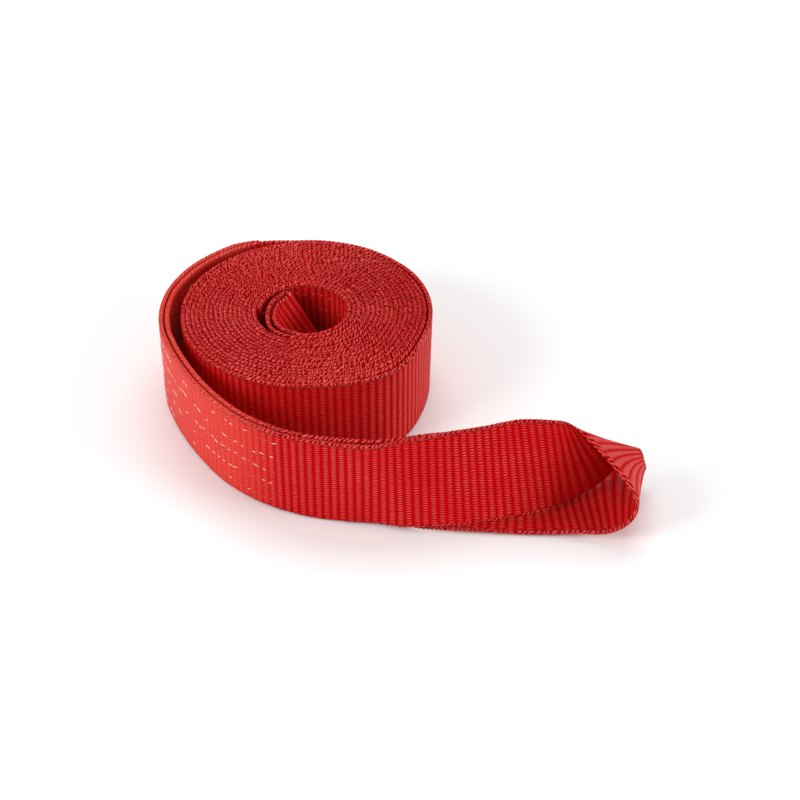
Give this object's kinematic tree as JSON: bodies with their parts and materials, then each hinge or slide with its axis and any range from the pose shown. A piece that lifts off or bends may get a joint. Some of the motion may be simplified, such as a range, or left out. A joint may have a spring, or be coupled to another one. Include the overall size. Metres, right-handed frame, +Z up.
{
  "type": "flat web sling",
  "caption": "Flat woven webbing sling with a folded, sewn eye at each end, wound on edge into a coil with one eye led out to the side.",
  "frame": {"origin": "on the coil's axis, at the surface the coil stands on", "axes": "+Z up, along the coil's axis; +X towards the outer eye, along the object's longest side"},
  "size_m": [0.2553, 0.2014, 0.0561],
  "materials": {
    "webbing": "ribbed polyester weave, slight sheen",
    "thread": "twisted sewing thread, matt"
  },
  "bodies": {
    "coil": {"coil_web": "webbing", "loose_turn_web": "webbing", "inner_splice_body_ply": "webbing", "inner_splice_tail_ply": "webbing", "inner_splice_stitches": "thread", "inner_eye_web": "webbing"},
    "splice": {"outer_splice_body_ply": "webbing", "outer_splice_tail_ply": "webbing", "outer_splice_stitches": "thread"},
    "eye": {"outer_eye_web": "webbing"}
  },
  "joints": [
    {"name": "free_end_peel", "type": "hinge", "parent": "coil", "child": "splice", "pos_m": [-0.016, 0.0668, 0.025], "axis": [0, 0, 1], "range_deg": [-70, 0]},
    {"name": "eye_swing", "type": "hinge", "parent": "splice", "child": "eye", "pos_m": [0.01891, -0.11074, 0.025], "axis": [0, 0, 1], "range_deg": [-30, 30]}
  ]
}
